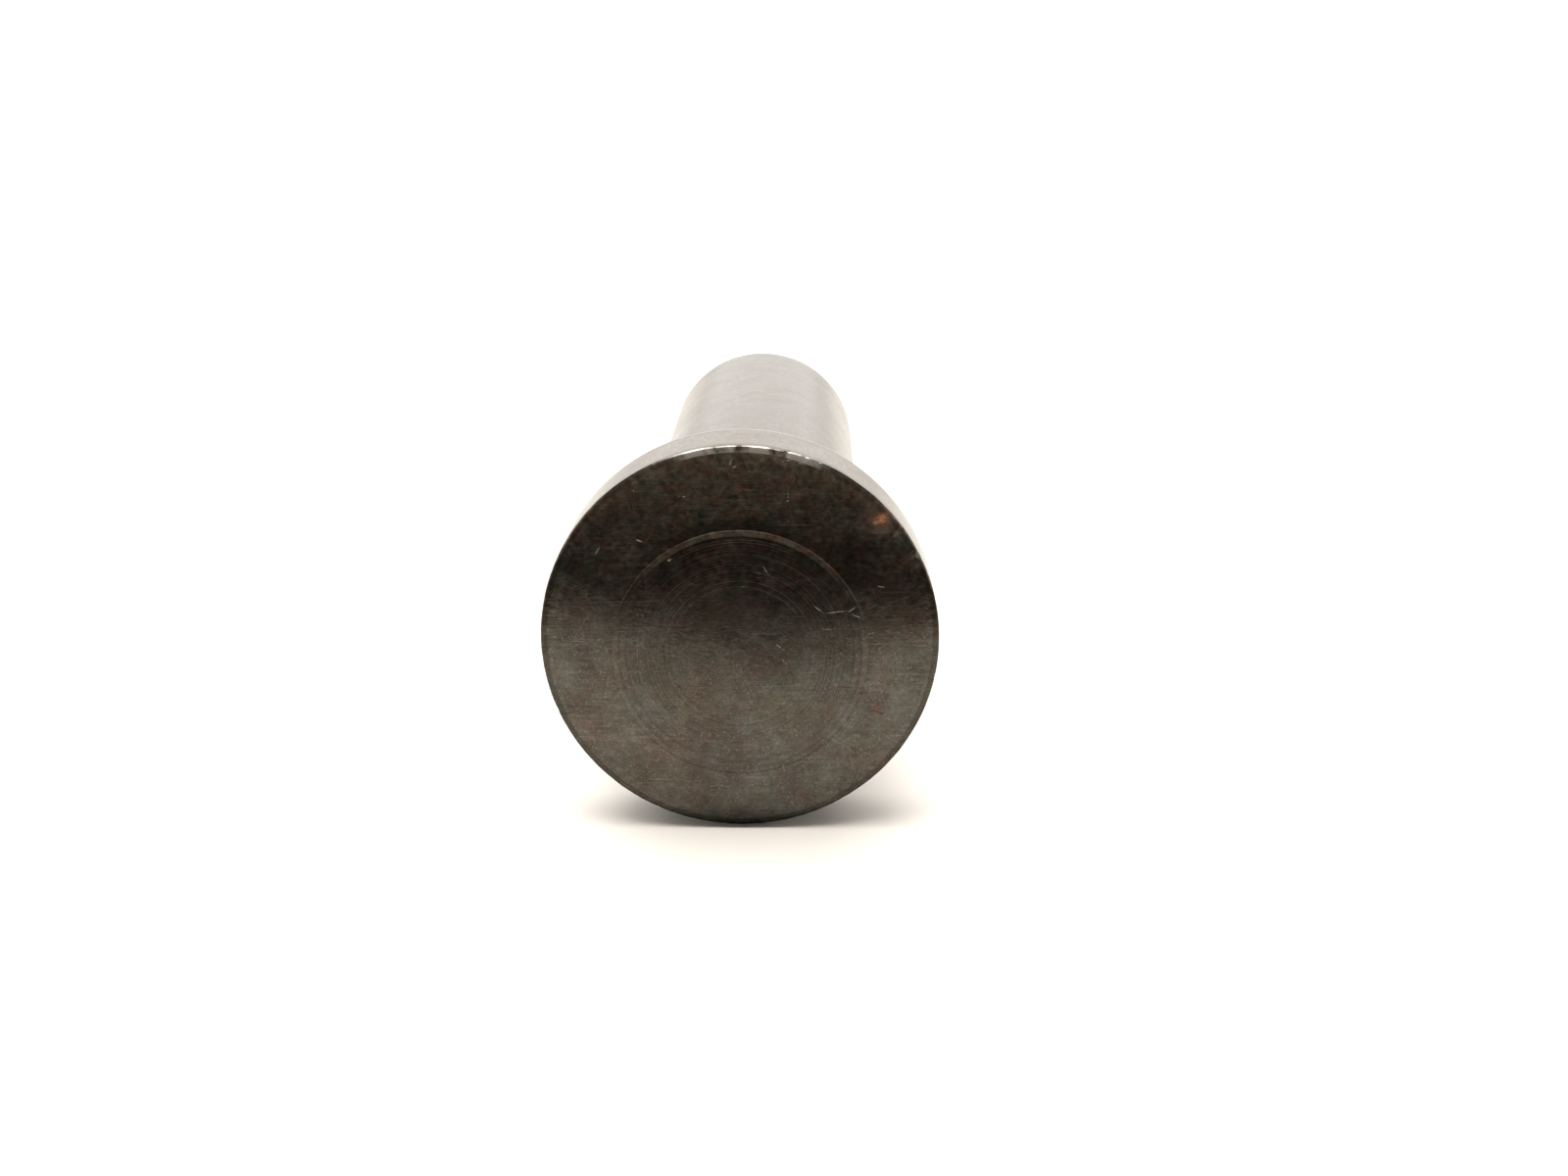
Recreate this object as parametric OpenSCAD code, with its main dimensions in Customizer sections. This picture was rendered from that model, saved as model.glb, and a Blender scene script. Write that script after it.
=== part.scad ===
// Leather rivet setter: a ground round bar with a disc-shaped collar pressed
// on its front end. The bar's reduced end, the spigot, comes through the
// collar and lies flush in the setting face, where its joint with the collar
// shows as a fine ring. A very shallow dish in the spigot's end cups the
// rivet's cap. The other end of the bar is struck, or held in a press ram.
//
// The bar lies along +Y. The origin is the centre of the setting face, on the
// bar's axis, and the face looks along -Y. All sizes are in millimetres.

/* [Bar] */
// Diameter of the bar behind the collar
bar_d = 19; // [12:0.5:26]
// Length of the whole setter, from the setting face to the struck end
overall_length = 72; // [40:1:120]
// Width of the bevel on the struck end
struck_bevel = 0.7; // [0.2:0.1:1.5]

/* [Spigot] */
// Height of the shoulder that the collar seats against
shoulder = 0.3; // [0.15:0.05:1]
// Width of the bevel round the spigot's end, one side of the joint's groove
spigot_bevel = 0.1; // [0.05:0.05:0.3]
// Flat land left between the dish and the spigot's bevel
dish_land = 0.35; // [0.1:0.05:1.5]
// Depth of the dish at its middle
dish_depth = 0.14; // [0.05:0.01:0.8]

/* [Collar] */
// Width of the collar's wall where it is even all round the bar
collar_wall = 5.05; // [3.5:0.05:10]
// Thickness of the collar along the bar
collar_thickness = 5.8; // [3:0.1:12]
// How far the collar's rim lies off the bar's axis, upwards
collar_offset = 1; // [0:0.1:1.5]
// Radius of the rounded front edge
front_round = 0.35; // [0.1:0.05:1]
// Radius of the rounded back edge
back_round = 0.25; // [0.1:0.05:1]
// Width of the bevel at each mouth of the bore
bore_bevel = 0.1; // [0.05:0.05:0.15]

/* [Hidden] */
$fn = 180;
round_steps = 6;

bar_r = bar_d / 2;
spigot_r = bar_r - shoulder;
bore_r = spigot_r;
collar_r = spigot_r + collar_wall;
dish_r = spigot_r - spigot_bevel - dish_land;
dish_ball_r = (dish_r * dish_r + dish_depth * dish_depth) / (2 * dish_depth);

// Points of a quarter arc about a centre, from one angle to another
function arc(centre, radius, from, to) =
    [for (i = [0:round_steps])
        let (angle = from + (to - from) * i / round_steps)
        centre + radius * [cos(angle), sin(angle)]];

// Half outline of the bar: radius first, then distance from the setting face
bar_outline = [
    [0, 0],
    [spigot_r - spigot_bevel, 0],
    [spigot_r, spigot_bevel],
    [spigot_r, collar_thickness],
    [bar_r, collar_thickness],
    [bar_r, overall_length - struck_bevel],
    [bar_r - struck_bevel, overall_length],
    [0, overall_length],
];

// Half outline of the collar's rim, as a solid disc
rim_outline = concat(
    [[0, 0]],
    arc([collar_r - front_round, front_round], front_round, -90, 0),
    arc([collar_r - back_round, collar_thickness - back_round], back_round, 0, 90),
    [[0, collar_thickness]]
);

// Half outline of what is bored out of the collar, bevelled at both mouths
bore_outline = [
    [0, -bore_bevel],
    [bore_r + 2 * bore_bevel, -bore_bevel],
    [bore_r, bore_bevel],
    [bore_r, collar_thickness - bore_bevel],
    [bore_r + 2 * bore_bevel, collar_thickness + bore_bevel],
    [0, collar_thickness + bore_bevel],
];

// Turns a half outline about the bar's axis
module turned(outline) {
    rotate([-90, 0, 0]) rotate_extrude() polygon(outline);
}

// Ground bar with its spigot, shoulder, dished end and bevelled struck end
module shank() {
    color("dimgray") difference() {
        turned(bar_outline);
        translate([0, dish_depth - dish_ball_r, 0]) sphere(r = dish_ball_r);
    }
}

// Disc that widens the setting face, bored a little off its own centre
module collar() {
    color("gray") difference() {
        translate([0, 0, collar_offset]) turned(rim_outline);
        turned(bore_outline);
    }
}

shank();
collar();
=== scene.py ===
"""Looks of a leather rivet setter: a ground steel bar whose spigot comes through a disc collar.

Everything is in the CAD model's own frame. The bar lies along +Y, the origin is the centre of
the setting face, the face looks along -Y, and the tool lies on its side with +Z up. Blender
works in metres, so a size said in millimetres is multiplied by MM.
"""

import math
import random

import bmesh
import bpy
from mathutils import Euler, Matrix, Vector, noise


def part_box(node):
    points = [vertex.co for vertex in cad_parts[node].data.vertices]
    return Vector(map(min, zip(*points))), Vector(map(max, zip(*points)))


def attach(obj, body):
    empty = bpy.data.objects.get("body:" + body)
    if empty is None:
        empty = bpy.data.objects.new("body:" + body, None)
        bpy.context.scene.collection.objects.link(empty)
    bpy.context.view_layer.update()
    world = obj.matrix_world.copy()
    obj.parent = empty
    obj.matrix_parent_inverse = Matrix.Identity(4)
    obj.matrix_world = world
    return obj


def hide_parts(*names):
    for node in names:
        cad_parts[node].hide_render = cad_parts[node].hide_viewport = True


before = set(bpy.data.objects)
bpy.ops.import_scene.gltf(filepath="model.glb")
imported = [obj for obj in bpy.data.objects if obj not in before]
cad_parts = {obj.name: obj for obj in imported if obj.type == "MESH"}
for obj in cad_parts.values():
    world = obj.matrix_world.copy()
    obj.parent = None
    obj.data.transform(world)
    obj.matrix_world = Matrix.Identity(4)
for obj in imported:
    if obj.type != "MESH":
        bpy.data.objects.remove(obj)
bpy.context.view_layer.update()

MM = 0.001

# ---------------------------------------------------------------- sizes taken from the frame

collar_low, collar_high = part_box("collar")
shank_low, shank_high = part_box("shank")
COLLAR_R = (collar_high[0] - collar_low[0]) / 2
COLLAR_UP = (collar_high[2] + collar_low[2]) / 2  # the collar's centre above the bar's axis
COLLAR_BACK = collar_high[1]
BAR_R = (shank_high[0] - shank_low[0]) / 2
BAR_END = shank_high[1]

# ---------------------------------------------------------------- sizes that the boxes don't hold

SHOULDER = 0.3 * MM
SPIGOT_R = BAR_R - SHOULDER
DISH_R = 8.75 * MM
DISH_DEPTH = 0.14 * MM
DISH_EASE = 1.5  # power that eases the dish into its flat land
JOINT_ROUND = 0.02 * MM  # rounding of both edges that meet at the fine ring in the face
FRONT_ROUND = 0.18 * MM
BACK_ROUND = 0.25 * MM
STRUCK_BEVEL = 0.7 * MM
STRUCK_ROUND = 0.15 * MM

COLLAR_SEGMENTS = 600
BAR_SEGMENTS = 320
COLLAR_ARC_STEPS = 8
BAR_ARC_STEPS = 4
DISH_STEPS = 18
FACE_RING_GAP = 0.2 * MM
WALL_RING_GAP = 0.9 * MM

# ---------------------------------------------------------------- camera

CAMERA_PLACE = Vector((4.7, -124.2, 42.9)) * MM
CAMERA_DOWN = 16.98  # degrees below the horizon
CAMERA_LEFT = 0.71  # degrees to the left of straight along the bar
CAMERA_LENS = 42.16  # focal length in millimetres


def place_camera():
    """The camera looks along the bar at the setting face, from a little above."""
    camera = bpy.data.objects.new("camera", bpy.data.cameras.new("camera"))
    bpy.context.scene.collection.objects.link(camera)
    camera.location = CAMERA_PLACE
    turn = (math.radians(90 - CAMERA_DOWN), 0, math.radians(CAMERA_LEFT))
    camera.rotation_euler = Euler(turn)
    camera.data.lens = CAMERA_LENS
    camera.data.clip_start = 10 * MM
    camera.data.clip_end = 10
    bpy.context.scene.camera = camera


# ---------------------------------------------------------------- node and colour helpers


def linear(code):
    """Turns an sRGB hex colour into linear red, green, blue and alpha."""
    parts = [int(code[i : i + 2], 16) / 255 for i in (1, 3, 5)]
    return [p / 12.92 if p <= 0.04045 else ((p + 0.055) / 1.055) ** 2.4 for p in parts] + [1]


def node(tree, kind, inputs=None, **settings):
    """Adds a node, with its own settings and the values or the sockets that feed its inputs."""
    made = tree.nodes.new("ShaderNode" + kind)
    for key, value in settings.items():
        setattr(made, key, value)
    for socket, value in (inputs or {}).items():
        if isinstance(value, bpy.types.NodeSocket):
            tree.links.new(value, made.inputs[socket])
        else:
            made.inputs[socket].default_value = value
    return made


def new_material(name):
    """An empty node material with its output."""
    material = bpy.data.materials.new(name)
    material.use_nodes = True
    material.node_tree.nodes.clear()
    return material, material.node_tree, node(material.node_tree, "OutputMaterial")


def both(tree, first, second):
    """Where two patterns meet: one times the other."""
    return node(tree, "Math", {0: first, 1: second}, operation="MULTIPLY").outputs["Value"]


def total(tree, base, layers):
    """A base value plus patterns, each times its own weight."""
    for pattern, weight in layers:
        settings = {0: pattern, 1: weight, 2: base}
        base = node(tree, "Math", settings, operation="MULTIPLY_ADD").outputs["Value"]
    return base


def over(tree, under, colour, share, strength=1.0):
    """Lays a colour over another, as thick as share says, times strength."""
    settings = {"Factor": both(tree, share, strength), "A": under, "B": colour}
    return node(tree, "Mix", settings, data_type="RGBA").outputs["Result"]


def painted(tree, colour, coats):
    """Lays coats over a colour in turn, each a tone, where it lies and how strong it is."""
    for tone, share, strength in coats:
        colour = over(tree, colour, linear(tone), share, strength)
    return colour


# ---------------------------------------------------------------- stage: floor, card, lights

FLOOR_SIZE = 3.0  # half the sheet's width, in metres
PAPER_WHITE = "#f4efe8"
# Tones painted into the paper for the steel's reflections only: painted shade in front of the face,
# a dimmer grey elsewhere
PAPER_SHADED_IN_FACE = "#8d8a85"
PAPER_DIMMED_IN_SIDES = "#d4d0ca"
# A card that only reflections see: it paints the dark reflection in the face's upper half
BLACK_CARD = "#141312"
CARD_FAR_END_LIT = "#6f6962"
CONTACT_SHADE = "#0a0908"
# The two painted tones that the steel sees in the paper, shaded in front and dimmer elsewhere, meet
# within this of the collar's resting line
TONES_MEET = 0.8 * MM
# An oval shade under the collar: how far back its middle is, its half sizes, its full-dark share
SHADE_BACK = 2 * MM
SHADE_ACROSS = 16 * MM
SHADE_ALONG = 13 * MM
SHADE_CORE = 0.58
CARD_LIFT = 0.4 * MM
# The card turns from black to its far end's lighter tone, painted light from the room, between
# these distances in front of that line
CARD_FADES = -95 * MM
CARD_FADED = -190 * MM
# Half outline of the black card, across and along, in millimetres: a blunt nose towards the face
CARD_NOSE = [(0, -48), (7, -53), (14, -61), (24, -67), (60, -72), (400, -82), (400, -700)]


def floor_tilt():
    """The tool rests on the collar's back edge and on the struck end's rim."""
    rise = -BAR_R - (COLLAR_UP - COLLAR_R)
    run = (BAR_END - STRUCK_BEVEL) - (COLLAR_BACK - BACK_ROUND)
    return math.atan2(rise, run)


def lie_on_floor(thing, lift=0.0):
    """Puts a flat stage piece, made about the collar's resting point, on the leaning floor."""
    thing.matrix_world = (
        Matrix.Translation((0, COLLAR_BACK - BACK_ROUND, COLLAR_UP - COLLAR_R))
        @ Matrix.Rotation(floor_tilt(), 4, "X")
        @ Matrix.Translation((0, 0, lift))
    )


def paper_material():
    """Matt white paper, lit past white. The steel's reflections see it painted greyer, with painted
    shade in front of the face and a painted shadow where the collar rests.
    """
    material, tree, output = new_material("matt_white_paper")
    place = node(tree, "TexCoord").outputs["Object"]
    axes = node(tree, "SeparateXYZ", {"Vector": place})
    limits = {"Value": axes.outputs["Y"], "From Min": TONES_MEET, "From Max": -TONES_MEET}
    front_in_shade = node(tree, "MapRange", limits).outputs["Result"]
    settings = {"Vector": place, "Location": (0, SHADE_BACK, 0)}
    settings["Scale"] = (SHADE_ACROSS, SHADE_ALONG, 1)
    oval = node(tree, "Mapping", settings, vector_type="TEXTURE").outputs["Vector"]
    away = node(tree, "VectorMath", {0: oval}, operation="LENGTH").outputs["Value"]
    limits = {"Value": away, "From Min": 1.0, "From Max": SHADE_CORE}
    near = node(tree, "MapRange", limits).outputs["Result"]
    # Painted shade on the paper's front half and a painted shadow under the collar, seen only in
    # reflections
    coats = [(PAPER_SHADED_IN_FACE, front_in_shade, 1.0), (CONTACT_SHADE, near, 1.0)]
    painted_reflection = painted(tree, linear(PAPER_DIMMED_IN_SIDES), coats)
    by_steel = node(tree, "LightPath").outputs["Is Glossy Ray"]
    tone = over(tree, linear(PAPER_WHITE), painted_reflection, by_steel)
    paper = node(tree, "BsdfDiffuse", {"Color": tone})
    tree.links.new(paper.outputs["BSDF"], output.inputs["Surface"])
    return material


def card_material():
    """Black card that only reflections see, which paints the dark reflection in the polished face's
    upper half; its far end is painted lighter, as lit from the room.
    """
    material, tree, output = new_material("black_card")
    place = node(tree, "TexCoord")
    axes = node(tree, "SeparateXYZ", {"Vector": place.outputs["Object"]})
    limits = {"Value": axes.outputs["Y"], "From Min": CARD_FADES, "From Max": CARD_FADED}
    far_lit = node(tree, "MapRange", limits).outputs["Result"]
    tone = painted(tree, linear(BLACK_CARD), [(CARD_FAR_END_LIT, far_lit, 1.0)])
    card = node(tree, "BsdfDiffuse", {"Color": tone})
    tree.links.new(card.outputs["BSDF"], output.inputs["Surface"])
    return material


def stage_object(name, shape, material):
    """Turns a bmesh into a stage object."""
    mesh = bpy.data.meshes.new(name)
    shape.to_mesh(mesh)
    shape.free()
    thing = bpy.data.objects.new(name, mesh)
    bpy.context.scene.collection.objects.link(thing)
    thing.data.materials.append(material)
    return thing


def lay_stage():
    """White paper under the tool, and a black card in front that only the steel reflects."""
    sheet = bmesh.new()
    bmesh.ops.create_grid(sheet, x_segments=1, y_segments=1, size=FLOOR_SIZE)
    lie_on_floor(stage_object("floor", sheet, paper_material()))

    card = bmesh.new()
    outline = CARD_NOSE + [(-x, y) for x, y in reversed(CARD_NOSE[1:])]
    card.faces.new([card.verts.new((x * MM, y * MM, 0)) for x, y in outline])
    flag = stage_object("black_card", card, card_material())
    lie_on_floor(flag, CARD_LIFT)
    flag.visible_camera = False
    flag.visible_diffuse = False
    flag.visible_shadow = False


BACKDROP = 1.35  # brightness of the white backdrop round the sides and behind
CEILING = 0.35
ROOM_IN_FRONT = 0.3  # the camera's side of the room, as a share of the rest
ROOM_TINT = "#fffaf5"
# The backdrop gives way to the ceiling between these heights of a direction, from 0 to 1
BACKDROP_TOP = 0.36
CEILING_EDGE = 0.56
# The room in front gives way to the backdrop between these reaches along the bar, from -1 to 1
FRONT_END = -0.75
SIDES_START = -0.15


def light_the_room():
    """A white backdrop behind and beside, a dim ceiling, and a dimmer room on the camera's side.

    The tool is lit by these and reflects them, while the camera itself sees plain white.
    """
    world = bpy.data.worlds.new("studio")
    bpy.context.scene.world = world
    world.use_nodes = True
    tree = world.node_tree
    tree.nodes.clear()
    direction = node(tree, "TexCoord")
    axes = node(tree, "SeparateXYZ", {"Vector": direction.outputs["Generated"]})
    limits = {"Value": axes.outputs["Z"], "From Min": BACKDROP_TOP, "From Max": CEILING_EDGE}
    limits.update({"To Min": BACKDROP, "To Max": CEILING})
    height = node(tree, "MapRange", limits, interpolation_type="SMOOTHSTEP").outputs["Result"]
    limits = {"Value": axes.outputs["Y"], "From Min": FRONT_END, "From Max": SIDES_START}
    limits.update({"To Min": ROOM_IN_FRONT, "To Max": 1.0})
    front = node(tree, "MapRange", limits, interpolation_type="SMOOTHSTEP").outputs["Result"]
    by_camera = node(tree, "LightPath").outputs["Is Camera Ray"]
    settings = {"Factor": by_camera, "A": both(tree, height, front), "B": 1.0}
    seen = node(tree, "Mix", settings, data_type="FLOAT").outputs["Result"]
    sky = node(tree, "Background", {"Color": linear(ROOM_TINT), "Strength": seen})
    output = node(tree, "OutputWorld")
    tree.links.new(sky.outputs["Background"], output.inputs["Surface"])


SOFTBOX_PLACE = Vector((-30, 10, 260)) * MM
SOFTBOX_AIM = Vector((0, 10, 0)) * MM
SOFTBOX_WIDTH = 320 * MM
SOFTBOX_DEPTH = 260 * MM
SOFTBOX_RADIANCE = 3.0
SOFTBOX_TINT = "#fffaf4"
BACK_LIGHT_STRENGTH = 3.35
BACK_LIGHT_SPREAD = 90  # degrees, so wide that its shadows have no edge
BACK_LIGHT_TILT = -22  # degrees about X, from straight down
BACK_LIGHT_LEAN = -5  # degrees about Y


def light_the_tool():
    """A large softbox overhead, and a very soft light from behind that whitens the paper."""
    lamp = bpy.data.lights.new("overhead_softbox", "AREA")
    lamp.shape = "RECTANGLE"
    lamp.size = SOFTBOX_WIDTH
    lamp.size_y = SOFTBOX_DEPTH
    lamp.energy = SOFTBOX_RADIANCE * math.pi * SOFTBOX_WIDTH * SOFTBOX_DEPTH
    lamp.color = linear(SOFTBOX_TINT)[:3]
    softbox = bpy.data.objects.new("overhead_softbox", lamp)
    bpy.context.scene.collection.objects.link(softbox)
    softbox.location = SOFTBOX_PLACE
    softbox.rotation_euler = (SOFTBOX_AIM - SOFTBOX_PLACE).to_track_quat("-Z", "Y").to_euler()

    lamp = bpy.data.lights.new("soft_back_light", "SUN")
    lamp.energy = BACK_LIGHT_STRENGTH
    lamp.angle = math.radians(BACK_LIGHT_SPREAD)
    back_light = bpy.data.objects.new("soft_back_light", lamp)
    bpy.context.scene.collection.objects.link(back_light)
    turn = (math.radians(BACK_LIGHT_TILT), math.radians(BACK_LIGHT_LEAN), 0)
    back_light.rotation_euler = turn
    back_light.visible_glossy = False


# ---------------------------------------------------------------- shaping


def rounded(corners, closed, arc_steps):
    """Points of an outline whose corners, each (radius, along, rounding), are arcs."""
    points = []
    for i, (x, y, radius) in enumerate(corners):
        corner = Vector((x, y))
        at_end = not closed and i in (0, len(corners) - 1)
        if radius == 0 or at_end:
            points.append(corner)
            continue
        before = (Vector(corners[i - 1][:2]) - corner).normalized()
        after = (Vector(corners[(i + 1) % len(corners)][:2]) - corner).normalized()
        half = before.angle(after) / 2
        centre = corner + (before + after).normalized() * radius / math.sin(half)
        first = (corner + before * radius / math.tan(half) - centre).normalized()
        last = (corner + after * radius / math.tan(half) - centre).normalized()
        for step in range(arc_steps + 1):
            points.append(centre + first.slerp(last, step / arc_steps) * radius)
    return points


def filled(points, face_gap, wall_gap, closed):
    """Adds points to an outline's straight stretches: close on the face, wide elsewhere."""
    full = []
    ends = points[1:] + (points[:1] if closed else [])
    for start, end in zip(points, ends):
        gap = face_gap if start.y == end.y == 0 else wall_gap
        pieces = max(1, math.ceil((end - start).length / gap - 1e-6))
        full += [start.lerp(end, k / pieces) for k in range(pieces)]
    return full if closed else full + [points[-1]]


def turned(points, segments, closed):
    """Spins a half outline of (radius, along) points round the bar's axis into a solid."""
    shape = bmesh.new()
    verts = [shape.verts.new((0, along, radius)) for radius, along in points]
    pairs = list(zip(verts, verts[1:])) + ([(verts[-1], verts[0])] if closed else [])
    edges = [shape.edges.new(pair) for pair in pairs]
    bmesh.ops.spin(
        shape,
        geom=verts + edges,
        cent=(0, 0, 0),
        axis=(0, 1, 0),
        angle=2 * math.pi,
        steps=segments,
        use_merge=True,
    )
    bmesh.ops.remove_doubles(shape, verts=shape.verts, dist=1e-7)
    bmesh.ops.recalc_face_normals(shape, faces=shape.faces)
    return shape


def dent(shape, place, size, depth, push):
    """Presses a smooth round hollow, whose radius is size, into a surface."""
    for vert in shape.verts:
        away = (vert.co - place).length / size
        if away < 1:
            vert.co += push * depth * (1 - away * away) ** 2


SHARP_FROM = 50  # degrees between two facets


def finish_piece(name, shape, material, replaced):
    """Makes the object, smooth but for its sharp edges, and hands it to the frame."""
    mesh = bpy.data.meshes.new(name)
    shape.to_mesh(mesh)
    shape.free()
    mesh.shade_smooth()
    mesh.set_sharp_from_angle(angle=math.radians(SHARP_FROM))
    piece = bpy.data.objects.new(name, mesh)
    bpy.context.scene.collection.objects.link(piece)
    mesh.materials.append(material)
    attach(piece, "root")
    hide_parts(replaced)


# ---------------------------------------------------------------- collar

EDGE_WEAR_REACH = 0.35 * MM  # how far from the sharp corner the wear goes
# Waves in the worn front edge: height, length along it, how often across it, seed (millimetres)
EDGE_WAVES = [(0.022, 0.9, 3, 3.1), (0.010, 0.32, 5, 8.7)]
# Nicks in it: degrees clockwise from the top as the face is seen, half width, depth (millimetres)
EDGE_NICKS = [
    (14, 0.22, 0.05), (19, 0.15, 0.04), (23, 0.22, 0.05), (53.5, 0.25, 0.07), (62, 0.22, 0.08),
    (65, 0.18, 0.07), (-31, 0.25, 0.03), (-58, 0.25, 0.03), (101, 0.30, 0.04), (148, 0.25, 0.03),
    (-112, 0.35, 0.04), (-155, 0.25, 0.03),
]
# Pits in the face: right, up, radius, depth (millimetres)
FACE_PITS = [(9.86, -4.18, 0.30, 0.06)]


def lift_towards_rim(shape):
    """Moves the collar's outside up to its own centre, and leaves its bore round the bar."""
    inner = SPIGOT_R + JOINT_ROUND
    outer = COLLAR_R - FRONT_ROUND
    for vert in shape.verts:
        share = (math.hypot(vert.co.x, vert.co.z) - inner) / (outer - inner)
        vert.co.z += COLLAR_UP * min(1, max(0, share))


def edge_height(angle, spot):
    """How far the worn front edge stands proud or low at an angle round the collar."""
    length = angle * COLLAR_R / MM
    height = 0.0
    for tall, wave, often, seed in EDGE_WAVES:
        height += tall * noise.noise(Vector((length / wave, spot.y / MM * often, seed)))
    for degrees, half_width, depth in EDGE_NICKS:
        turn = (angle - math.radians(degrees) + math.pi) % (2 * math.pi) - math.pi
        away = turn * COLLAR_R / MM / half_width
        if abs(away) < 1:
            height -= depth * (1 - away * away) ** 2
    return height * MM


def wear_front_edge(shape):
    """Rolls, nicks and burrs the collar's front edge, which meets the anvil and the bench."""
    centre_r = COLLAR_R - FRONT_ROUND
    for vert in shape.verts:
        radius = math.hypot(vert.co.x, vert.co.z)
        out, along = radius - centre_r, vert.co.y - FRONT_ROUND
        reach = math.hypot(radius - COLLAR_R, vert.co.y) / EDGE_WEAR_REACH
        if reach >= 1 or (out <= 0 and along >= 0):
            continue
        angle = math.atan2(vert.co.x, vert.co.z)
        push = edge_height(angle, vert.co) * (1 - reach)
        normal = Vector((max(0, out), min(0, along))).normalized()
        vert.co.x += math.sin(angle) * normal.x * push
        vert.co.z += math.cos(angle) * normal.x * push
        vert.co.y += normal.y * push


def build_collar():
    """The disc round the spigot: bored off its own centre, with a worn front edge."""
    corners = [
        (SPIGOT_R, 0, JOINT_ROUND),
        (COLLAR_R, 0, FRONT_ROUND),
        (COLLAR_R, COLLAR_BACK, BACK_ROUND),
        (SPIGOT_R, COLLAR_BACK, JOINT_ROUND),
    ]
    points = filled(rounded(corners, True, COLLAR_ARC_STEPS), FACE_RING_GAP, WALL_RING_GAP, True)
    shape = turned(points, COLLAR_SEGMENTS, closed=True)
    wear_front_edge(shape)
    lift_towards_rim(shape)
    for right, up, radius, depth in FACE_PITS:
        dent(shape, Vector((right, 0, up)) * MM, radius * MM, depth * MM, Vector((0, 1, 0)))
    finish_piece("collar_disc", shape, collar_steel(), "collar")


# ---------------------------------------------------------------- bar

HAMMER_MARKS = 16
HAMMER_SEED = 11
HAMMER_SPREAD = 0.6  # share of the struck end's area, from its middle, that the marks start in
HAMMER_SIZES = (1.5 * MM, 3.2 * MM)
HAMMER_DEPTHS = (0.03 * MM, 0.09 * MM)


def build_bar():
    """The bar with its spigot, dished at the front and bevelled and hammered at the back."""
    dish = [DISH_R * k / DISH_STEPS for k in range(DISH_STEPS + 1)]
    points = [Vector((r, DISH_DEPTH * (1 - (r / DISH_R) ** 2) ** DISH_EASE)) for r in dish]
    corners = [
        (DISH_R, 0, 0),
        (SPIGOT_R, 0, JOINT_ROUND),
        (SPIGOT_R, COLLAR_BACK, 0),
        (BAR_R, COLLAR_BACK, 0),
        (BAR_R, BAR_END - STRUCK_BEVEL, STRUCK_ROUND),
        (BAR_R - STRUCK_BEVEL, BAR_END, STRUCK_ROUND),
        (0, BAR_END, 0),
    ]
    outline = rounded(corners, False, BAR_ARC_STEPS)
    points += filled(outline, FACE_RING_GAP, WALL_RING_GAP, False)[1:]
    shape = turned(points, BAR_SEGMENTS, closed=False)
    dice = random.Random(HAMMER_SEED)
    for _ in range(HAMMER_MARKS):
        radius = BAR_R * math.sqrt(dice.uniform(0.0, HAMMER_SPREAD))
        angle = dice.uniform(0, 2 * math.pi)
        place = Vector((radius * math.cos(angle), BAR_END, radius * math.sin(angle)))
        size = dice.uniform(*HAMMER_SIZES)
        depth = dice.uniform(*HAMMER_DEPTHS)
        dent(shape, place, size, depth, Vector((0, -1, 0)))
    finish_piece("bar", shape, bar_steel(), "shank")


# ---------------------------------------------------------------- steel

STEEL_GREY = "#a2a098"
BAR_GREY = "#918f89"
PATINA_BROWN = "#927560"
PATINA_GREEN = "#868d77"
PATINA_VIOLET = "#8e716c"
PATINA_RED = "#8f5f50"
# Bare steel of scratches and wear, also used for painted highlights on the collar's edges
BARE_STEEL_AND_HIGHLIGHT = "#dedad2"
COPPER_RED = "#d6946a"
RUST_DARK = "#7c4a33"
DARK_GREY_BROWN = "#3a3630"
ROUGHNESS = 0.135  # ground and worn smooth, so that it mirrors the room softly

# Scratches and dings that show bright in the face: right, up, length and width in millimetres,
# degrees turned. They are drawn wider than real scratches, which are too fine to show.
BRIGHT_MARKS = [
    (-0.55, 14.0, 0.7, 0.16, 75), (-0.25, 13.75, 0.5, 0.16, 20), (3.42, 14.2, 1.1, 0.10, 12),
    (4.3, 14.0, 0.6, 0.09, -15), (3.41, 11.3, 0.5, 0.12, 20), (3.45, 11.7, 0.10, 0.7, 0),
    (-3.97, 11.6, 0.8, 0.09, 5), (-7.3, 12.0, 0.7, 0.12, -18), (-10.0, 7.6, 0.10, 0.8, -30),
    (-7.0, 8.4, 0.6, 0.14, -20), (-4.9, 7.0, 0.4, 0.22, 25), (5.6, 3.4, 1.1, 0.10, -38),
    (6.9, 3.2, 1.8, 0.07, 8), (8.0, 3.4, 0.9, 0.09, 35), (8.3, 2.9, 0.8, 0.08, -20),
    (10.0, 5.1, 0.6, 0.09, -10), (6.2, 1.9, 0.8, 0.07, -8), (2.9, 0.5, 1.0, 0.07, -35),
    (3.2, -0.6, 0.9, 0.07, -50), (-8.5, -4.9, 0.7, 0.10, -8), (-10.6, -3.1, 0.35, 0.10, 0),
    # The mark at 12.55, 7.3 is a nick at the face's edge: bare steel, painted bright where its
    # glint shows
    (12.55, 7.3, 0.7, 0.3, -60), (-3.0, -7.0, 1.0, 0.06, 30), (1.9, 6.2, 0.9, 0.06, -60),
    (9.3, 1.6, 1.0, 0.06, 12),
]
MARK_STRENGTH = 0.95
# A copper-red spot near the edge, as a rivet leaves, given as the marks are
COPPER_RUBBED = [(10.0, 10.1, 1.5, 0.9, 25), (9.6, 9.8, 1.0, 0.5, 40)]
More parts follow.
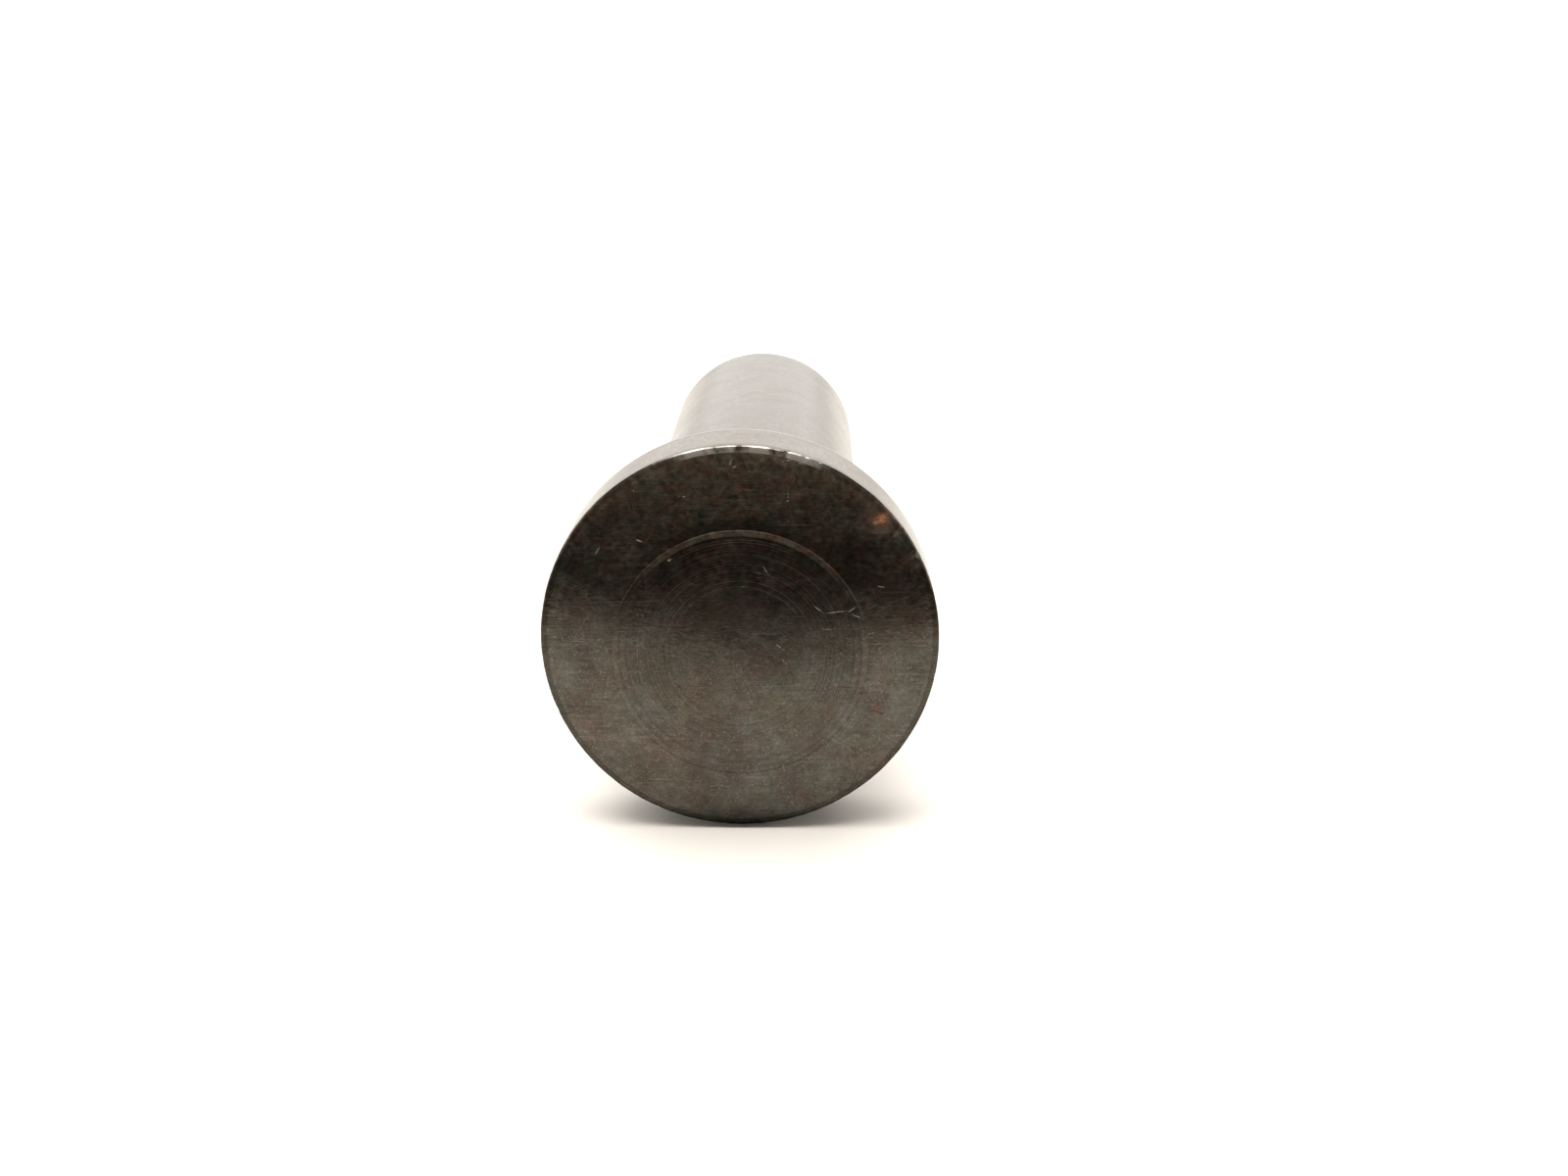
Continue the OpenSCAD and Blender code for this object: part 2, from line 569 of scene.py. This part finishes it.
# Dark tarnish round the rubbed copper, and the stain in and about the pit
TARNISHED = [(10.0, 9.8, 3.6, 2.6, 20), (9.86, -4.18, 1.3, 1.1, 20)]
# Broad red-brown stains in the upper half, and one small fleck below
BROWNED = [
    (1.1, 13.3, 3.2, 2.4, 80), (-6.5, 8.7, 4.6, 3.0, 30), (10.7, 6.0, 4.4, 3.4, 60),
    (-2.1, 6.4, 4.6, 2.2, 10), (7.2, -5.4, 1.0, 0.5, 50),
]
# Patches of patina: size in millimetres, seed, tone, how strong
PATINA_PATCHES = [
    (5.5, 1.3, PATINA_BROWN, 0.75), (3.0, 4.1, PATINA_GREEN, 0.65), (2.4, 8.6, PATINA_VIOLET, 0.75),
    (0.7, 6.4, PATINA_BROWN, 0.45), (0.6, 3.7, PATINA_GREEN, 0.40),
]
# Mottling over the patina: size in millimetres, seed, how strong
MOTTLING = [(3.2, 7.3, 0.36), (0.8, 2.2, 0.34), (0.28, 5.9, 0.36)]
# Blots in the face's upper half, as the patches are given, and the heights that they set in over
UPPER_BLOTS = [
    (0.9, 2.8, PATINA_RED, 0.60), (1.3, 9.9, DARK_GREY_BROWN, 0.50), (0.5, 5.0, PATINA_GREEN, 0.55),
    (0.4, 1.9, DARK_GREY_BROWN, 0.50),
]
UPPER_FROM = 1.0
UPPER_FULL = 6.0

# Lengths along the bar's axis and across it from here on are in millimetres, as the patterns are
BEYOND = 999.0  # an end past everything, for a band that has only one
COLLAR_EDGE = COLLAR_R / MM
BACK = COLLAR_BACK / MM
# Bands: start, end, softness
COLLAR_SIDE = (0.5, BEYOND, 0.3)
BAR_SIDE = (0.9, BEYOND, 0.3)
RIM = (COLLAR_EDGE - 0.45, BEYOND, 0.05)
FRONT_EDGE = (-BEYOND, 0.20, 0.06)
# Band of the painted highlight along the back edge's rounding
BACK_EDGE_HIGHLIGHT = (BACK - 0.34, BEYOND, 0.06)
# Darker bands along the rim, just behind the front edge and just ahead of the back edge
DARK_BAND_BY_FACE = (0.46, 0.60, 0.12)
DARK_BAND_BY_BACK = (BACK - 0.8, BACK - 0.45, 0.15)
# Where the front edge's bare, worn steel is painted bright as a highlight: a band across it, and
# the heights that it comes up over
HIGHLIGHT_ACROSS = (-3.5, 5.0, 1.5)
HIGHLIGHT_FROM = 11.5
HIGHLIGHT_FULL = 14.2

# Spacing of tool lines, drawn coarser than a real feed of 0.1 mm or less, which is too fine to show
SIDE_FEED = 0.16
END_FEED = 0.42
# The rings in the bar's ends are faint within the first radius and full from the second
RINGS_FAINT_TO = 3.8
RINGS_FULL_FROM = 7.6
RINGS_FAINT = 0.05

# Heights of the relief: the hairlines are cut in, and the rest stands up
COLLAR_LINE_HEIGHT = 0.0014
BAR_LINE_HEIGHT = 0.0010
LEVEL_GRAIN_HEIGHT = 0.0006
GRAIN_HEIGHT = 0.0012
BAR_GRAIN_HEIGHT = 0.0004
HAIRLINE_HEIGHT = -0.0006
MARK_HEIGHT = 0.012
RING_HEIGHT = 0.0055


def millimetres(tree):
    """Object coordinates in millimetres, so that the patterns are scaled in them."""
    place = node(tree, "TexCoord")
    scale = {"Vector": place.outputs["Object"], "Scale": (1 / MM, 1 / MM, 1 / MM)}
    return node(tree, "Mapping", scale).outputs["Vector"]


def cloud(tree, place, size, seed, low=0.35, high=0.65, detail=2.0, turn=0):
    """Patches of a size across X, Y and Z in millimetres: 0 below low, 1 above high."""
    settings = {"Vector": place, "Location": (7 * seed, 3 * seed, seed)}
    settings["Rotation"] = (0, math.radians(turn), 0)
    settings["Scale"] = size
    moved = node(tree, "Mapping", settings, vector_type="TEXTURE")
    settings = {"Vector": moved.outputs["Vector"], "Scale": 1.0, "Detail": detail}
    fog = node(tree, "TexNoise", settings)
    limits = {"Value": fog.outputs["Fac"], "From Min": low, "From Max": high}
    return node(tree, "MapRange", limits).outputs["Result"]


def lines(tree, distance, spacing, seed):
    """Fine tool lines that follow one distance, spacing millimetres apart, from 0 to 1."""
    at = node(tree, "Math", {0: distance, 1: 1 / spacing, 2: seed}, operation="MULTIPLY_ADD")
    settings = {"W": at.outputs["Value"], "Scale": 1.0, "Detail": 3.0, "Roughness": 0.7}
    fog = node(tree, "TexNoise", settings, noise_dimensions="1D")
    limits = {"Value": fog.outputs["Fac"], "From Min": 0.35, "From Max": 0.65}
    return node(tree, "MapRange", limits).outputs["Result"]


def spots(tree, place, marks, soft=0.5):
    """Where any of the small oval marks lies: 1 in its middle, 0 outside it."""
    found = 0.0
    for right, up, length, width, degrees in marks:
        settings = {"Vector": place, "Location": (right, 0, up)}
        settings["Rotation"] = (0, -math.radians(degrees), 0)
        settings["Scale"] = (length / 2, 1, width / 2)
        own = node(tree, "Mapping", settings, vector_type="TEXTURE")
        away = node(tree, "VectorMath", {0: own.outputs["Vector"]}, operation="LENGTH")
        limits = {"Value": away.outputs["Value"], "From Min": 1.0, "From Max": 1 - soft}
        inside = node(tree, "MapRange", limits).outputs["Result"]
        found = node(tree, "Math", {0: found, 1: inside}, operation="MAXIMUM").outputs["Value"]
    return found


def scratched(tree, place, marks):
    """The marks again, broken up and unevenly deep."""
    broken = cloud(tree, place, (0.22, 0.22, 0.22), 4.4, 0.32, 0.62)
    found = both(tree, spots(tree, place, marks, soft=0.8), broken)
    return total(tree, 0.0, [(found, MARK_STRENGTH)])


def patina(tree, place, colour, strength):
    """Brown, green and violet tarnish in soft patches, and finer mottling over it."""
    for size, seed, tone, share in PATINA_PATCHES:
        patches = cloud(tree, place, (size, size, size), seed, 0.42, 0.70, detail=5.0)
        colour = over(tree, colour, linear(tone), patches, share * strength)
    for size, seed, share in MOTTLING:
        mottling = cloud(tree, place, (size, size, size * 0.8), seed, 0.40, 0.72, detail=3.0)
        colour = over(tree, colour, linear(DARK_GREY_BROWN), mottling, share * strength)
    grit = cloud(tree, place, (0.16, 0.16, 0.14), 9.1, 0.60, 0.72, detail=1.0)
    return over(tree, colour, linear(BARE_STEEL_AND_HIGHLIGHT), grit, 0.35 * strength)


def face_colour_of(tree, place):
    """The patina of the setting face, more blotched and browner in its upper half."""
    stains = both(tree, spots(tree, place, BROWNED, soft=1.0), cloud(tree, place, (1, 1, 1), 5.2))
    colour = patina(tree, place, linear(STEEL_GREY), 0.85)
    colour = over(tree, colour, linear(RUST_DARK), stains, 0.60)
    up = node(tree, "SeparateXYZ", {"Vector": place}).outputs["Z"]
    limits = {"Value": up, "From Min": UPPER_FROM, "From Max": UPPER_FULL}
    upper = node(tree, "MapRange", limits).outputs["Result"]
    for size, seed, tone, share in UPPER_BLOTS:
        blots = cloud(tree, place, (size, size, size), seed, 0.44, 0.62, detail=3.0)
        colour = over(tree, colour, linear(tone), both(tree, blots, upper), share)
    return colour


def band(tree, distance, start, end, soft):
    """1 while a distance in millimetres lies between start and end, with soft sides."""
    limits = {"Value": distance, "From Min": start - soft, "From Max": start}
    rising = node(tree, "MapRange", limits).outputs["Result"]
    limits = {"Value": distance, "From Min": end + soft, "From Max": end}
    return both(tree, rising, node(tree, "MapRange", limits).outputs["Result"])


def radius_from(tree, place, up=0.0):
    """Distance in millimetres from a line that runs along the bar, up above its axis."""
    settings = {"Vector": place, "Location": (0, 0, -up), "Scale": (1, 0, 1)}
    flat = node(tree, "Mapping", settings).outputs["Vector"]
    return node(tree, "VectorMath", {0: flat}, operation="LENGTH").outputs["Value"]


def grinding(tree, place):
    """Scratches of a ground face, most of them level, drawn coarser than real hairlines to show."""
    found = cloud(tree, place, (3.5, 1.0, 0.09), 5.5, 0.56, 0.74, detail=3.0)
    for seed, degrees in ((1.1, 32), (2.7, -24), (6.2, 71), (3.9, -58)):
        more = cloud(tree, place, (4.0, 1.0, 0.07), seed, 0.64, 0.76, detail=2.0, turn=degrees)
        found = node(tree, "Math", {0: found, 1: more}, operation="MAXIMUM").outputs["Value"]
    return found


def grain(tree, place):
    """Fine pitting of the oil-blackened skin, drawn coarser than it is so that it shows."""
    return cloud(tree, place, (0.30, 0.30, 0.24), 7.7, 0.30, 0.70, detail=3.0)


def gloss_of(tree, place, raised):
    """Roughness that wanders with the oil film and rises where metal is raised or rubbed on."""
    film = cloud(tree, place, (3, 3, 3), 6.0)
    fine_film = cloud(tree, place, (0.5, 0.5, 0.3), 1.7)
    layers = [(film, 0.04), (fine_film, 0.03)] + [(pattern, 0.30) for pattern in raised]
    return total(tree, ROUGHNESS, layers)


def worked_steel(tree, output, colour, roughness, height, metallic):
    """Joins colour, gloss and relief, the relief given in millimetres, in one bare metal."""
    relief = node(tree, "Bump", {"Height": height, "Distance": MM, "Strength": 1.0})
    settings = {"Base Color": colour, "Metallic": metallic, "Roughness": roughness}
    settings["Normal"] = relief.outputs["Normal"]
    surface = node(tree, "BsdfPrincipled", settings)
    tree.links.new(surface.outputs["BSDF"], output.inputs["Surface"])


def collar_steel():
    """Ground carbon steel under a thin brown and green oil patina: dull, mottled, scratched."""
    material, tree, output = new_material("ground_steel_with_patina")
    place = millimetres(tree)
    axes = node(tree, "SeparateXYZ", {"Vector": place})
    depth = axes.outputs["Y"]
    behind_face = band(tree, depth, *COLLAR_SIDE)

    level_grain = cloud(tree, place, (1.6, 1.0, 0.14), 9.4, 0.35, 0.75, detail=4.0)
    hairlines = grinding(tree, place)
    marks = [m for m in BRIGHT_MARKS if math.hypot(m[0], m[1]) * MM > SPIGOT_R]
    bright = scratched(tree, place, marks)
    tarnish = cloud(tree, place, (0.9, 1, 0.7), 3.3, 0.30, 0.60, detail=3.0)
    tarnish = both(tree, spots(tree, place, TARNISHED, soft=0.95), tarnish)
    copper = cloud(tree, place, (0.3, 1, 0.2), 8.8, 0.20, 0.55)
    copper = both(tree, spots(tree, place, COPPER_RUBBED, soft=0.95), copper)

    rim = band(tree, radius_from(tree, place, COLLAR_UP / MM), *RIM)
    front_edge = both(tree, rim, band(tree, depth, *FRONT_EDGE))
    # Painted highlight: lighter bare steel along the rounding of the back edge
    back_edge_highlight = both(tree, rim, band(tree, depth, *BACK_EDGE_HIGHLIGHT))
    # Darker bands along the rim beside both edges
    dark_band_by_face = both(tree, rim, band(tree, depth, *DARK_BAND_BY_FACE))
    dark_band_by_back = both(tree, rim, band(tree, depth, *DARK_BAND_BY_BACK))
    # Painted highlight: the front edge's bare, worn steel is painted bright only at its top, across
    # its middle
    limits = {"Value": axes.outputs["Z"], "From Min": HIGHLIGHT_FROM, "From Max": HIGHLIGHT_FULL}
    top = node(tree, "MapRange", limits).outputs["Result"]
    highlight_place = both(tree, top, band(tree, axes.outputs["X"], *HIGHLIGHT_ACROSS))
    worn = cloud(tree, place, (1.1, 1.1, 1.1), 4.6, 0.38, 0.58, detail=3.0)
    worn_edge_with_highlight = both(tree, both(tree, front_edge, highlight_place), worn)
    turned_lines = both(tree, lines(tree, depth, SIDE_FEED, 2.0), behind_face)

    side_colour = patina(tree, place, linear(BAR_GREY), 0.40)
    colour = over(tree, face_colour_of(tree, place), side_colour, behind_face)
    coats = [
        (DARK_GREY_BROWN, level_grain, 0.13),
        (BARE_STEEL_AND_HIGHLIGHT, hairlines, 0.20),
        (BARE_STEEL_AND_HIGHLIGHT, bright, 1.0),
        (RUST_DARK, tarnish, 0.75),
        (COPPER_RED, copper, 1.0),
        # the front edge's rounding made darker
        (DARK_GREY_BROWN, front_edge, 0.38),
        # worn bare steel on the front edge, painted bright as a highlight
        (BARE_STEEL_AND_HIGHLIGHT, worn_edge_with_highlight, 1.0),
        (BARE_STEEL_AND_HIGHLIGHT, back_edge_highlight, 0.8),
        (DARK_GREY_BROWN, dark_band_by_face, 0.45),
        (DARK_GREY_BROWN, dark_band_by_back, 0.40),
        (DARK_GREY_BROWN, turned_lines, 0.07),
    ]
    relief = [
        (turned_lines, COLLAR_LINE_HEIGHT),
        (level_grain, LEVEL_GRAIN_HEIGHT),
        (grain(tree, place), GRAIN_HEIGHT),
        (hairlines, HAIRLINE_HEIGHT),
        (bright, MARK_HEIGHT),
    ]
    gloss = gloss_of(tree, place, [bright, copper])
    metal = total(tree, 1.0, [(tarnish, -0.35)])
    worked_steel(tree, output, painted(tree, colour, coats), gloss, total(tree, 0.0, relief), metal)
    return material


def bar_steel():
    """Turned and ground carbon steel: fine rings in both ends, fine lines round the bar."""
    material, tree, output = new_material("turned_steel_with_patina")
    place = millimetres(tree)
    depth = node(tree, "SeparateXYZ", {"Vector": place}).outputs["Y"]
    radius = radius_from(tree, place)
    behind_face = band(tree, depth, *BAR_SIDE)

    limits = {"Value": radius, "From Min": RINGS_FAINT_TO, "From Max": RINGS_FULL_FROM}
    limits.update({"To Min": RINGS_FAINT, "To Max": 1.0})
    ring_strength = node(tree, "MapRange", limits).outputs["Result"]
    rings = both(tree, lines(tree, radius, END_FEED, 5.0), ring_strength)
    hairlines = grinding(tree, place)
    marks = [m for m in BRIGHT_MARKS if math.hypot(m[0], m[1]) * MM <= SPIGOT_R]
    bright = scratched(tree, place, marks)
    round_lines = both(tree, lines(tree, depth, SIDE_FEED, 1.0), behind_face)
    limits = {"Value": behind_face, "To Min": GRAIN_HEIGHT, "To Max": BAR_GRAIN_HEIGHT}
    grain_height = node(tree, "MapRange", limits).outputs["Result"]

    streaks = cloud(tree, place, (0.5, 14.0, 0.5), 2.9, 0.35, 0.75, detail=3.0)
    side_colour = patina(tree, place, linear(BAR_GREY), 0.12)
    side_colour = painted(tree, side_colour, [(DARK_GREY_BROWN, streaks, 0.10)])
    colour = over(tree, face_colour_of(tree, place), side_colour, behind_face)
    coats = [
        (DARK_GREY_BROWN, rings, 0.26),
        (BARE_STEEL_AND_HIGHLIGHT, hairlines, 0.14),
        (BARE_STEEL_AND_HIGHLIGHT, bright, 1.0),
        (DARK_GREY_BROWN, round_lines, 0.05),
    ]
    relief = [
        (round_lines, BAR_LINE_HEIGHT),
        (rings, RING_HEIGHT),
        (grain(tree, place), grain_height),
        (hairlines, HAIRLINE_HEIGHT),
        (bright, MARK_HEIGHT),
    ]
    gloss = gloss_of(tree, place, [bright])
    worked_steel(tree, output, painted(tree, colour, coats), gloss, total(tree, 0.0, relief), 1.0)
    return material


# ---------------------------------------------------------------- the scene

bpy.context.scene.view_settings.view_transform = "Standard"
place_camera()
lay_stage()
light_the_room()
light_the_tool()
build_collar()
build_bar()
